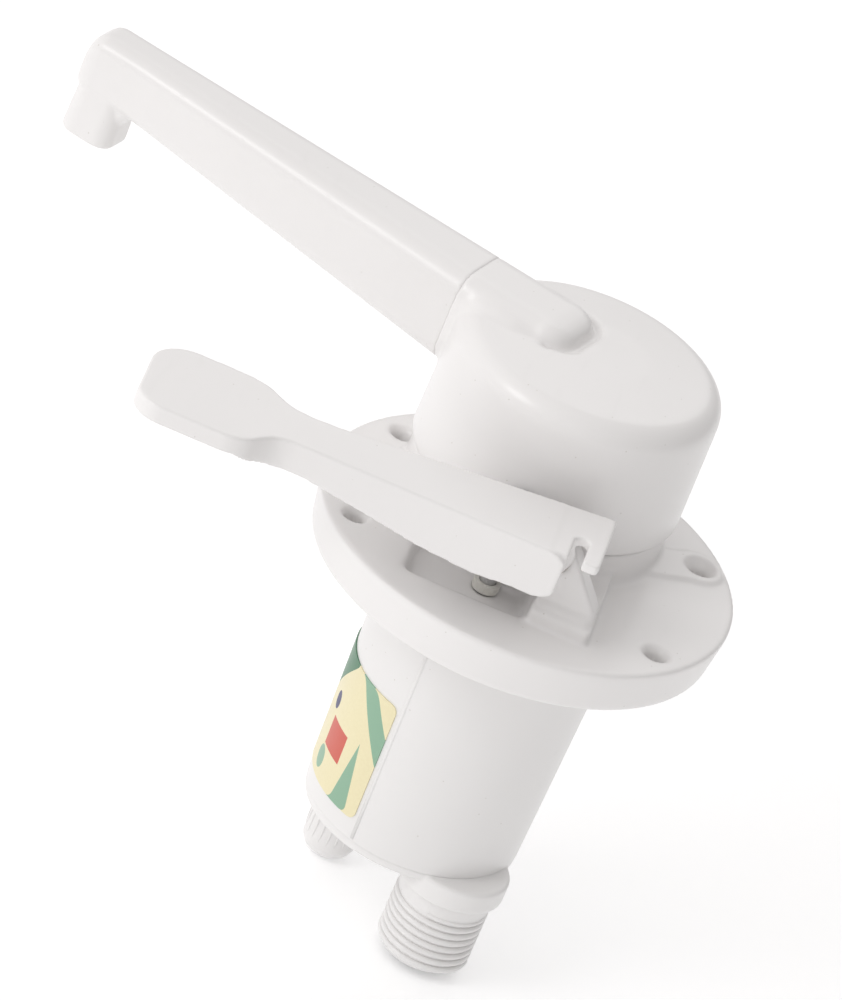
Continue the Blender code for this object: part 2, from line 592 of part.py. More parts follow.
def make_head():
    x, y = HEAD_X, HEAD_Y
    shoulder = arc(HEAD_R_HIGH - 5.6, HEAD_TOP - 6.8, 5.6, 78, 0, 6)
    head = turned("swivel_head", [(0.0, HEAD_TOP), (12.0, HEAD_TOP - 0.4)] + shoulder + [
        (HEAD_R_LOW, HEAD_BOTTOM), (0.0, HEAD_BOTTOM)], x, y, 48)
    cavity_top = HEAD_TOP - 4.6
    cavity = turned("head_cavity", [
        (HEAD_BOSS_R, cavity_top), (HEAD_R_HIGH - 9.0, cavity_top), (HEAD_R_HIGH - 3.6, cavity_top - 5.0),
        (HEAD_R_HIGH - 3.0, cavity_top - 9.0), (HEAD_R_LOW - HEAD_WALL, HEAD_BOTTOM - 1.0),
        (HEAD_BOSS_R, HEAD_BOTTOM - 1.0)], x, y, 32)
    cut(head, cavity)
    neck_sections = []
    for s in (10.0, 18.0, NECK_END):
        neck_sections.append(spout_section(s, NECK_WIDTH, NECK_BOTTOM, SPOUT_TOP, 5.0))
    neck = loft("spout_neck", neck_sections)
    tongue_sections = []
    for s, width, top in ((11.0, NECK_WIDTH, SPOUT_TOP), (8.0, 18.8, SPOUT_TOP - 0.3),
                          (5.6, 16.4, SPOUT_TOP - 1.0), (4.0, 12.0, SPOUT_TOP - 2.2)):
        corner = min(5.0, (top - 46.0) / 2 - 0.2)
        tongue_sections.append(spout_section(s, width, 46.0, top, corner))
    fairing_sections = []
    for s, width, low, top in ((12.0, 28.0, 40.0, HEAD_TOP - 1.0), (20.0, 26.4, 38.0, 52.0),
                               (26.0, 23.0, 36.0, 53.0), (30.6, NECK_WIDTH + 0.2, 33.9, SPOUT_TOP - 0.7)):
        fairing_sections.append(spout_section(s, width, low, top, 5.6))
    join(head, neck, loft("neck_fairing", fairing_sections), loft("tongue", tongue_sections))
    chamber = turned("swivel_chamber", [
        (0.0, 46.3), (9.2, 46.3), (9.2, 38.5), (12.2, 37.5), (12.2, HEAD_BOTTOM - 1.0),
        (0.0, HEAD_BOTTOM - 1.0)], x, y, 24)
    start = Vector(spout_point(0.0, 0.0, WATERWAY_Z)) / MM
    way = lay_along(rod("neck_waterway", 4.0, 0.0, NECK_END + 1.0, steps=16), start,
                    Vector(spout_point(NECK_END + 1.0, 0.0, WATERWAY_Z)) / MM)
    mouth = Vector(spout_point(NECK_END - 9.4, 0.0, WATERWAY_Z)) / MM
    socket = lay_along(rod("neck_socket", 6.6, 0.0, 11.0, steps=24), mouth,
                       Vector(spout_point(NECK_END + 1.6, 0.0, WATERWAY_Z)) / MM)
    cut(head, chamber, way, socket)
    white(head)
    acetal(ring("swivel_sleeve", POST_R + 0.4, 11.8, HEAD_BOTTOM + 0.8, 33.4, x, y, 24))


def make_spout():
    tip_start = SPOUT_END - NOZZLE_LENGTH
    sections = []
    for s in (NECK_END + GAP, 45.0, 65.0, 90.0, tip_start, SPOUT_END - 2.4):
        sections.append(spout_section(s, *spout_sides(s)))
    width, low, high, corner = spout_sides(SPOUT_END)
    sections.append(spout_section(SPOUT_END - 0.9, width - 1.0, low + 0.6, high - 1.0, corner))
    sections.append(spout_section(SPOUT_END, width - 3.2, low + 1.8, high - 3.2, corner - 1.0))
    arm = loft("spout_arm", sections)

    centre = SPOUT_END - NOZZLE_LENGTH / 2
    nozzle_rings = []
    for z, length, across in ((46.0, 11.6, 11.2), (TIP_BOTTOM, 12.2, 11.8), (NOZZLE_BOTTOM + 0.9, 12.8, 12.4),
                              (NOZZLE_BOTTOM, 11.8, 11.4)):
        nozzle_rings.append([spout_point(centre + a, b, z) for a, b in rounded_box(length, across, 3.2)])
    join(arm, loft("nozzle", nozzle_rings))
    inner = Vector(spout_point(NECK_END - 9.0, 0.0, WATERWAY_Z)) / MM
    outer = Vector(spout_point(NECK_END + 3.0, 0.0, WATERWAY_Z)) / MM
    spigot = lay_along(rod("spout_spigot", 6.2, 0.0, 12.0, steps=24), inner, outer)
    join(arm, spigot)
    far = Vector(spout_point(centre, 0.0, 49.0)) / MM
    near = Vector(spout_point(NECK_END - 10.0, 0.0, WATERWAY_Z)) / MM
    length = (far - near).length
    bore = lay_along(rod("spout_waterway", WATERWAY_R, 0.0, length, steps=20), near, far)
    x, y = [v / MM for v in spout_point(centre, 0.0, 0.0)[:2]]
    drop = turned("nozzle_waterway", [
        (0.0, 50.6), (3.4, 50.6), (3.4, NOZZLE_BOTTOM + 3.6), (4.3, NOZZLE_BOTTOM + 3.6),
        (4.3, NOZZLE_BOTTOM - 1.0), (0.0, NOZZLE_BOTTOM - 1.0)], x, y, 24)
    groove_start = Vector(spout_point(NECK_END - 6.4, 0.0, WATERWAY_Z)) / MM
    groove_end = Vector(spout_point(NECK_END - 4.2, 0.0, WATERWAY_Z)) / MM
    groove = lay_along(ring("spigot_groove", 5.0, 7.0, 0.0, 2.3, steps=24), groove_start, groove_end)
    cut(arm, bore, drop, groove)
    white(arm)

    ring_start = Vector(spout_point(NECK_END - 6.2, 0.0, WATERWAY_Z)) / MM
    ring_end = Vector(spout_point(NECK_END - 4.4, 0.0, WATERWAY_Z)) / MM
    rubber(lay_along(ring("spout_joint_ring", 5.25, 6.3, 0.0, 1.7, steps=24), ring_start, ring_end))
    acetal(ring("spout_outlet_ring", 3.2, 4.1, NOZZLE_BOTTOM + 0.3, NOZZLE_BOTTOM + 3.3, x, y, 24))


def rounded_box(length, width, corner):
    """Outline of a rounded rectangle round the origin."""
    a, b = length / 2 - corner, width / 2 - corner
    points = arc(a, b, corner, 0, 90, 4) + arc(-a, b, corner, 90, 180, 4)
    return points + arc(-a, -b, corner, 180, 270, 4) + arc(a, -b, corner, 270, 360, 4)


# ---------------------------------------------------------------- joints
def carry(name, place, pieces):
    """An empty on a joint's axis, which carries the pieces that move with it."""
    empty = bpy.data.objects.new(name, None)
    PUMP.objects.link(empty)
    empty.location = Vector(place) * MM
    bpy.context.view_layer.update()
    for piece in pieces:
        obj = bpy.data.objects[piece]
        obj.parent = empty
        obj.matrix_parent_inverse = empty.matrix_world.inverted()


make_base()
make_barrel()
make_bottom_cap()
make_piston()
make_check_valve("transfer_valve", 0.0, 0.0, PISTON_Z[1], 6.9, 1.7, PISTON_Z[1] - 6.6)
make_check_valve("foot_valve", FOOT_X, FOOT_Y, CAP_PLATE_TOP, 5.2, 1.2, CAP_PLATE_TOP - 8.2)
steel(ring("transfer_valve_clip", 1.85, 3.0, PISTON_Z[1] - 6.4, PISTON_Z[1] - 5.6, steps=16))
steel(ring("foot_valve_clip", 1.35, 2.3, CAP_PLATE_TOP - 8.0, CAP_PLATE_TOP - 7.2, FOOT_X, FOOT_Y, 16))
make_lever()
make_head()
make_spout()

carry("lever_axis", (PIVOT_X, (LUG_Y[0] + LUG_Y[1]) / 2, PIVOT_Z),
      ["lever", "pivot_pin", "drive_pin", "drive_pin_washer"])
carry("piston_axis", (0.0, 0.0, PISTON_Z[1]),
      ["piston", "piston_rod", "rod_locknut", "piston_seal_upper", "piston_seal_lower"])
carry("transfer_valve_axis", (0.0, 0.0, PISTON_Z[1]), ["transfer_valve_disc", "transfer_valve_clip"])
carry("foot_valve_axis", (FOOT_X, FOOT_Y, CAP_PLATE_TOP), ["foot_valve_disc", "foot_valve_clip"])
carry("swivel_axis", (HEAD_X, HEAD_Y, HEAD_BOTTOM),
      ["swivel_head", "swivel_sleeve", "spout_arm", "spout_joint_ring", "spout_outlet_ring"])
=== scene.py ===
import math

import bmesh
import bpy
from mathutils import Matrix, Vector


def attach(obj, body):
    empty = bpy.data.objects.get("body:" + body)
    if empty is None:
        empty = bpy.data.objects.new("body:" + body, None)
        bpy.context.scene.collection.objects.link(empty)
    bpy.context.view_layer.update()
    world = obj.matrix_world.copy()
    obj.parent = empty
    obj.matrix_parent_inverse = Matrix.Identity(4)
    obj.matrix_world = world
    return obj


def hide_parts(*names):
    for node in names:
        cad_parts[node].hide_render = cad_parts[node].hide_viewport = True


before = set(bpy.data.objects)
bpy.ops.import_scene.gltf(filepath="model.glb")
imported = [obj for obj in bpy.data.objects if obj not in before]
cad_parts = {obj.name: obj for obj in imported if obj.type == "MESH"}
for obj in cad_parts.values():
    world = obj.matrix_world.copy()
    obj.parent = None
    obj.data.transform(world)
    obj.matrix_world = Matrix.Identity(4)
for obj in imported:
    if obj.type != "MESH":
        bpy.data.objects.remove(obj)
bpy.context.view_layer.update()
scene = bpy.context.scene
mm = 0.001
print("frame loaded:", len(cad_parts), "nodes")

# sizes in millimetres, z from the underside of the flange
head = {"x": -2.6, "y": 15.5, "bottom": 19.4, "top": 52.4, "lowRadius": 30.6, "highRadius": 30.2,
        "melt": (0.52, 11)}
spout = {"angle": 162.1, "joint": 31.0, "end": 131.6, "top": 55.0, "width": 19.8, "tipWidth": 12.4,
         "low": 33.2, "tipLow": 41.7, "nozzle": 13.0, "nozzleLow": 32.1, "waterway": 44.1,
         "melt": (0.38, 5)}


# shapes, given in millimetres and made in metres
def arc(cx, cy, radius, start, end, count=10):
    angles = [math.radians(start + (end - start) * i / count) for i in range(count + 1)]
    return [(cx + radius * math.cos(a), cy + radius * math.sin(a)) for a in angles]


# rounds every corner of a chain of points
def softened(points, radius, closed=True, count=4):
    result = []
    last = len(points) - 1
    for i, point in enumerate(points):
        if not closed and i in (0, last):
            result.append(tuple(point))
            continue
        here = Vector(point)
        before = Vector(points[i - 1]) - here
        after = Vector(points[(i + 1) % len(points)]) - here
        reach = min(radius, before.length * 0.45, after.length * 0.45)
        turn = before.angle(after, math.pi)
        if reach < 0.02 or turn > math.radians(172):
            result.append(tuple(point))
            continue
        a = here + before.normalized() * reach
        b = here + after.normalized() * reach
        for k in range(count + 1):
            t = k / count
            result.append(tuple((1 - t) ** 2 * a + 2 * t * (1 - t) * here + t * t * b))
    return result


def objectFrom(name, bm):
    bmesh.ops.recalc_face_normals(bm, faces=bm.faces)
    for face in bm.faces:
        face.smooth = True
    mesh = bpy.data.meshes.new(name)
    bm.to_mesh(mesh)
    bm.free()
    obj = bpy.data.objects.new(name, mesh)
    scene.collection.objects.link(obj)
    return obj


def turned(name, profile, x=0.0, y=0.0, steps=144):
    bm = bmesh.new()
    rows = []
    for r, z in profile:
        if r < 1e-6:
            rows.append([bm.verts.new((x * mm, y * mm, z * mm))])
            continue
        rows.append([bm.verts.new(((x + r * math.cos(a)) * mm, (y + r * math.sin(a)) * mm, z * mm))
                     for a in (2 * math.pi * i / steps for i in range(steps))])
    pairs = list(zip(rows, rows[1:]))
    if len(rows[0]) > 1:
        pairs.append((rows[-1], rows[0]))
    for a, b in pairs:
        for i in range(steps):
            j = (i + 1) % steps
            if len(a) == 1:
                bm.faces.new((a[0], b[i], b[j]))
            elif len(b) == 1:
                bm.faces.new((a[i], b[0], a[j]))
            else:
                bm.faces.new((a[i], b[i], b[j], a[j]))
    return objectFrom(name, bm)


def rod(name, radius, low, high, x=0.0, y=0.0, steps=64):
    return turned(name, [(0, high), (radius, high), (radius, low), (0, low)], x, y, steps)


def between(name, start, end, radius, steps=48):
    obj = rod(name, radius, 0.0, (Vector(end) - Vector(start)).length, steps=steps)
    turn = (Vector(end) - Vector(start)).to_track_quat("Z", "Y").to_matrix().to_4x4()
    obj.data.transform(Matrix.Translation(Vector(start) * mm) @ turn)
    return obj


# a flat outline with thickness: up from XY, or along Y for an XZ outline
def slab(name, outline, low, high, upright=False):
    bm = bmesh.new()
    bottom, top = [[bm.verts.new((a * mm, depth * mm, b * mm) if upright else (a * mm, b * mm, depth * mm))
                    for a, b in outline] for depth in (low, high)]
    count = len(outline)
    for i in range(count):
        j = (i + 1) % count
        bm.faces.new((bottom[i], bottom[j], top[j], top[i]))
    bm.faces.new(bottom)
    bm.faces.new(top)
    bmesh.ops.triangulate(bm, faces=[f for f in bm.faces if len(f.verts) > 4])
    return objectFrom(name, bm)


def skin(name, rings):
    bm = bmesh.new()
    rows = [[bm.verts.new(Vector(p) * mm) for p in ring] for ring in rings]
    count = len(rows[0])
    for a, b in zip(rows, rows[1:]):
        for i in range(count):
            j = (i + 1) % count
            bm.faces.new((a[i], a[j], b[j], b[i]))
    bm.faces.new(rows[0])
    bm.faces.new(rows[-1])
    bmesh.ops.triangulate(bm, faces=[f for f in bm.faces if len(f.verts) > 4])
    return objectFrom(name, bm)


# turns a piece and its modifiers into a plain mesh at the origin
def settle(obj):
    bpy.context.view_layer.update()
    graph = bpy.context.evaluated_depsgraph_get()
    mesh = bpy.data.meshes.new_from_object(obj.evaluated_get(graph))
    obj.modifiers.clear()
    obj.data = mesh
    return obj


def combined(obj, others, operation):
    for other in others:
        change = obj.modifiers.new("shape", "BOOLEAN")
        change.operation = operation
        change.solver = "MANIFOLD"
        change.object = other
        settle(obj)
        bpy.data.objects.remove(other, do_unlink=True)
    return obj


# melts the joins together, so that every edge has the small radius of a moulding
def moulded(obj, voxel, passes):
    melt = obj.modifiers.new("melt", "REMESH")
    melt.mode = "VOXEL"
    melt.voxel_size = voxel * mm
    melt.use_smooth_shade = True
    relax = obj.modifiers.new("relax", "SMOOTH")
    relax.factor = 0.5
    relax.iterations = passes
    settle(obj)
    for polygon in obj.data.polygons:
        polygon.use_smooth = True
    return obj


def keepSharp(obj, angle=35):
    obj.data.set_sharp_from_angle(angle=math.radians(angle))
    return obj


# materials
# a node's output that takes part in sums
class Wire:
    def __init__(self, graph, socket):
        self.graph = graph
        self.socket = socket

    def __add__(self, other):
        return self.graph.sum("ADD", self, other)

    def __radd__(self, other):
        return self.graph.sum("ADD", other, self)

    def __sub__(self, other):
        return self.graph.sum("SUBTRACT", self, other)

    def __rsub__(self, other):
        return self.graph.sum("SUBTRACT", other, self)

    def __mul__(self, other):
        return self.graph.sum("MULTIPLY", self, other)

    def __rmul__(self, other):
        return self.graph.sum("MULTIPLY", other, self)

    def __gt__(self, other):
        return self.graph.sum("GREATER_THAN", self, other)

    def __lt__(self, other):
        return self.graph.sum("LESS_THAN", self, other)


class Graph:
    def __init__(self, tree):
        self.tree = tree

    def node(self, kind, settings=None, inputs=None, output=0):
        made = self.tree.nodes.new(kind)
        for key, value in (settings or {}).items():
            if key == "stops":
                ramp = made.color_ramp
                while len(ramp.elements) < len(value):
                    ramp.elements.new(0.5)
                for element, (place, colour) in zip(ramp.elements, value):
                    element.position = place
                    element.color = (*colour, 1.0)
            else:
                setattr(made, key, value)
        for key, value in (inputs or {}).items():
            if isinstance(value, Wire):
                self.tree.links.new(value.socket, made.inputs[key])
            else:
                made.inputs[key].default_value = value
        return Wire(self, made.outputs[output])

    def sum(self, operation, a, b):
        return self.node("ShaderNodeMath", {"operation": operation}, {0: a, 1: b})

    # a colour between two colours
    def blend(self, share, a, b):
        inputs = {0: share}
        for key, value in ((6, a), (7, b)):
            inputs[key] = value if isinstance(value, Wire) else (*value, 1.0)
        return self.node("ShaderNodeMix", {"data_type": "RGBA"}, inputs, 2)


# a material with its Principled shader and the piece's own coordinates
class Finish(Graph):
    def __init__(self, name):
        self.material = bpy.data.materials.new(name)
        self.material.use_nodes = True
        super().__init__(self.material.node_tree)
        self.shader = self.tree.nodes["Principled BSDF"]
        self.place = self.node("ShaderNodeTexCoord", output="Object")

    def noise(self, scale, detail=2.0, stretch=(1.0, 1.0, 1.0), roughness=0.5):
        place = self.place
        if stretch != (1.0, 1.0, 1.0):
            place = self.node("ShaderNodeMapping", inputs={"Vector": place, "Scale": stretch})
        return self.node("ShaderNodeTexNoise", inputs={
            "Vector": place, "Scale": scale, "Detail": detail, "Roughness": roughness})

    # 1 inside scattered specks
    def spots(self, scale, size):
        far = self.node("ShaderNodeTexVoronoi", inputs={"Vector": self.place, "Scale": scale})
        return far < size

    def bump(self, height, strength, depth):
        return self.node("ShaderNodeBump", inputs={"Height": height, "Strength": strength, "Distance": depth})

    def wear(self, **sockets):
        for key, value in sockets.items():
            name = {"colour": "Base Color", "roughness": "Roughness", "metallic": "Metallic",
                    "coat": "Coat Weight", "coatRoughness": "Coat Roughness", "normal": "Normal"}[key]
            if isinstance(value, Wire):
                self.tree.links.new(value.socket, self.shader.inputs[name])
            elif isinstance(value, tuple):
                self.shader.inputs[name].default_value = (*value, 1.0)
            else:
                self.shader.inputs[name].default_value = value
        return self.material


# white moulded plastic: cloudy tint, flow marks, faint scuffs and a fine mould texture
def glossyPlastic(name, light, shade, flow):
    f = Finish(name)
    cloud = f.noise(22.0, 3.0)
    flowMarks = f.noise(60.0, 4.0, flow)
    scuffs = f.noise(420.0, 3.0, (1.0, 0.12, 1.0), 0.7)
    grain = f.noise(2600.0, 2.0)
    specks = f.spots(260.0, 0.045)
    tint = f.blend(cloud, light, shade)
    tint = f.blend(specks * 0.35, tint, (0.42, 0.38, 0.32))
    rough = 0.24 + 0.12 * flowMarks + 0.16 * (scuffs > 0.64)
    height = grain * 0.35 + flowMarks * 0.5 + scuffs * 0.15
    return f.wear(colour=tint, roughness=rough, normal=f.bump(height, 0.16, 0.00012), coat=0.12,
                  coatRoughness=0.18)


def mattPlastic(name, light, shade):
    f = Finish(name)
    cloud = f.noise(90.0, 3.0)
    grain = f.noise(2400.0, 3.0)
    return f.wear(colour=f.blend(cloud, light, shade), roughness=0.42 + 0.14 * grain,
                  normal=f.bump(grain, 0.2, 0.0001))


def brushedMetal(name, light, shade, along):
    f = Finish(name)
    stretch = tuple(0.04 if axis == along else 1.0 for axis in "XYZ")
    lines = f.noise(5200.0, 3.0, stretch, 0.6)
    stain = f.noise(140.0, 3.0)
    return f.wear(colour=f.blend(stain, light, shade), metallic=1.0, roughness=0.22 + 0.2 * lines,
                  normal=f.bump(lines, 0.25, 0.00005))


def blackRubber(name):
    f = Finish(name)
    bloom = f.noise(160.0, 4.0)
    grain = f.noise(1900.0, 2.0)
    return f.wear(colour=f.blend(bloom, (0.018, 0.018, 0.019), (0.05, 0.048, 0.046)),
                  roughness=0.62 + 0.2 * grain, normal=f.bump(grain, 0.35, 0.0001))


# cream film with a green band, wedge and patch, a red block and a small navy spot
def labelFilm(name):
    f = Finish(name)
    uv = f.node("ShaderNodeUVMap", {"uv_map": "face"})
    parts = f.node("ShaderNodeSeparateXYZ", inputs={0: uv})
    u = parts
    v = Wire(f, parts.socket.node.outputs[1])
    fibre = f.noise(1500.0, 3.0)
    cream = f.blend(fibre, (0.83, 0.76, 0.50), (0.78, 0.70, 0.44))
    slant = u + v * 0.45
    broadBand = (slant > 1.215) * (slant < 1.325)
    fromWedge = u - 0.885
    halfWedge = 0.058 - v * 0.105
    wedge = (fromWedge * fromWedge < halfWedge * halfWedge) * (v < 0.55)
    patchU = u - 0.64
    patchV = v - 0.15
    patch = (patchU * patchU * 5.0 + patchV * patchV) < 0.0085
    corner = (u - v * 0.6 < 0.10) * (v > 0.5)
    red = (u > 0.63) * (u < 0.80) * (v > 0.26) * (v < 0.50)
    spotU = u - 0.60
    spotV = v - 0.60
    spot = (spotU * spotU * 5.2 + spotV * spotV) < 0.0052
    colour = f.blend(broadBand + wedge + patch, cream, (0.25, 0.43, 0.30))
    colour = f.blend(corner, colour, (0.06, 0.19, 0.10))
    colour = f.blend(red, colour, (0.60, 0.10, 0.065))
    colour = f.blend(spot, colour, (0.015, 0.015, 0.11))
    ink = broadBand + wedge + patch + red + spot
    return f.wear(colour=colour, roughness=0.36 + 0.12 * fibre - 0.06 * ink,
                  normal=f.bump(fibre * 0.6 + ink * 0.4, 0.2, 0.00006), coat=0.2, coatRoughness=0.2)


white = {"light": (0.85, 0.835, 0.828), "shade": (0.805, 0.79, 0.782)}
bodyPlastic = glossyPlastic("body plastic", flow=(1.0, 1.0, 0.3), **white)
leverPlastic = glossyPlastic("lever plastic", flow=(0.2, 1.0, 1.0), **white)
spoutPlastic = glossyPlastic("spout plastic", flow=(0.25, 0.8, 1.0), **white)
barrelPlastic = glossyPlastic("barrel plastic", (0.83, 0.82, 0.812), (0.785, 0.772, 0.765), (1.0, 1.0, 0.12))
acetal = mattPlastic("acetal", (0.80, 0.79, 0.74), (0.72, 0.70, 0.64))
steelUp = brushedMetal("steel rod", (0.66, 0.66, 0.67), (0.50, 0.50, 0.51), "Z")
steelAcross = brushedMetal("steel pin", (0.64, 0.64, 0.66), (0.48, 0.48, 0.50), "Y")
bronze = brushedMetal("bronze bush", (0.60, 0.42, 0.20), (0.42, 0.28, 0.12), "Y")
rubber = blackRubber("black rubber")
film = labelFilm("label film")
print("materials ready")


def finishPiece(obj, body, material, slotName, *nodes):
    obj.data.materials.clear()
    obj.data.materials.append(material)
    for polygon in obj.data.polygons:
        polygon.material_index = 0
    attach(obj, body)
    if nodes:
        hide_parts(*nodes)
    return obj


# geometry nodes
def geometryTree(name, sizes):
    tree = bpy.data.node_groups.new(name, "GeometryNodeTree")
    for key, kind in sizes.items():
        tree.interface.new_socket(key, in_out="INPUT", socket_type=kind)
    tree.interface.new_socket("Geometry", in_out="OUTPUT", socket_type="NodeSocketGeometry")
    graph = Graph(tree)
    entry = tree.nodes.new("NodeGroupInput")
    wires = {key: Wire(graph, entry.outputs[key]) for key in sizes}
    return graph, wires


def closeTree(graph, shape, material):
    solid = graph.node("GeometryNodeRealizeInstances", inputs={0: shape})
    skinned = graph.node("GeometryNodeSetMaterial", inputs={"Geometry": solid, "Material": material})
    out = graph.tree.nodes.new("NodeGroupOutput")
    graph.tree.links.new(skinned.socket, out.inputs["Geometry"])


# runs a tree on an empty mesh and keeps the plain result
def grown(name, graph, values):
    obj = bpy.data.objects.new(name, bpy.data.meshes.new(name))
    scene.collection.objects.link(obj)
    modifier = obj.modifiers.new(name, "NODES")
    modifier.node_group = graph.tree
    for item in graph.tree.interface.items_tree:
        if item.in_out == "INPUT" and item.name in values:
            modifier[item.identifier] = values[item.name]
    return settle(obj)


# an upright solid whose round section changes evenly from top to bottom
def taperedTree(material):
    graph, size = geometryTree("tapered barrel", {
        "Top": "NodeSocketFloat", "Bottom": "NodeSocketFloat", "High": "NodeSocketFloat",
        "Low": "NodeSocketFloat", "Sides": "NodeSocketInt"})
    start = graph.node("ShaderNodeCombineXYZ", inputs={"Z": size["High"]})
    end = graph.node("ShaderNodeCombineXYZ", inputs={"Z": size["Low"]})
    line = graph.node("GeometryNodeCurvePrimitiveLine", inputs={"Start": start, "End": end})
    line = graph.node("GeometryNodeResampleCurve", inputs={"Curve": line, "Count": 12})
    along = graph.node("GeometryNodeSplineParameter")
    radius = size["Top"] + (size["Bottom"] - size["Top"]) * along
    line = graph.node("GeometryNodeSetCurveRadius", inputs={"Curve": line, "Radius": radius})
    circle = graph.node("GeometryNodeCurvePrimitiveCircle", inputs={
        "Resolution": size["Sides"], "Radius": 1.0})
    body = graph.node("GeometryNodeCurveToMesh", inputs={
        "Curve": line, "Profile Curve": circle, "Fill Caps": True})
    sockets = body.socket.node.inputs
    if "Scale" in sockets:  # this node doesn't read the curve's radius
        graph.tree.links.new(radius.socket, sockets["Scale"])
    closeTree(graph, body, material)
    return graph


# a screw thread: a small round section drawn along a helix
def threadTree(material):
    graph, size = geometryTree("pipe thread", {
        "Turns": "NodeSocketFloat", "Radius": "NodeSocketFloat", "Length": "NodeSocketFloat",
        "Crest": "NodeSocketFloat", "Centre": "NodeSocketVector"})
    helix = graph.node("GeometryNodeCurveSpiral", inputs={
        "Resolution": 72, "Rotations": size["Turns"], "Start Radius": size["Radius"],
        "End Radius": size["Radius"], "Height": size["Length"]})
    crest = graph.node("GeometryNodeCurvePrimitiveCircle", inputs={"Resolution": 8, "Radius": size["Crest"]})
    ridge = graph.node("GeometryNodeCurveToMesh", inputs={
        "Curve": helix, "Profile Curve": crest, "Fill Caps": True})
    placed = graph.node("GeometryNodeTransform", inputs={"Geometry": ridge, "Translation": size["Centre"]})
    smooth = graph.node("GeometryNodeSetShadeSmooth", inputs={"Geometry": placed})
    closeTree(graph, smooth, material)
    return graph


# grip ribs that stand round a cap
def ribTree(material):
    graph, size = geometryTree("grip ribs", {
        "Count": "NodeSocketInt", "Radius": "NodeSocketFloat", "Rib": "NodeSocketVector",
        "Centre": "NodeSocketVector"})
    ringPoints = graph.node("GeometryNodeMeshCircle", inputs={
        "Vertices": size["Count"], "Radius": size["Radius"]})
    ribShape = graph.node("GeometryNodeMeshUVSphere", inputs={"Segments": 10, "Rings": 8, "Radius": 1.0})
    ribShape = graph.node("GeometryNodeTransform", inputs={"Geometry": ribShape, "Scale": size["Rib"]})
    place = graph.node("GeometryNodeInputPosition")
    turn = graph.node("FunctionNodeAlignEulerToVector", {"axis": "X"}, {"Vector": place})
    ribs = graph.node("GeometryNodeInstanceOnPoints", inputs={
        "Points": ringPoints, "Instance": ribShape, "Rotation": turn})
    ribs = graph.node("GeometryNodeTransform", inputs={"Geometry": ribs, "Translation": size["Centre"]})
    smooth = graph.node("GeometryNodeSetShadeSmooth", inputs={"Geometry": ribs})
    closeTree(graph, smooth, material)
    return graph


# deck flange with its collar, pedestal and swivel post
flange = {"radius": 47.0, "top": 10.8, "rebate": 27.2, "holeCircle": 40.6, "hole": 2.3,
          "sink": 3.4, "pad": 5.8, "collar": 29.4, "collarTop": 19.1, "plug": 24.0,
          "holeAngles": (26.3, 146.3, 206.3, 326.3),
          "melt": (0.58, 4)}
fulcrum = {"x": 6.0, "z": 26.0, "lug": 4.8, "near": -30.0, "far": -23.5, "pedestalTop": 14.5}
recess = {"left": -22.5, "right": 4.9, "front": -31.0, "back": -8.0, "corner": 2.2,
          "steps": ((6.0, 2.0), (6.4, 1.3), (9.6, 0.5), (11.2, -0.6), (18.0, -0.6))}  # height, inset
pistonPlace = {"x": -5.0, "y": -17.7, "gland": 3.4, "hole": 2.2, "melt": (0.22, 3)}  # voxel, passes


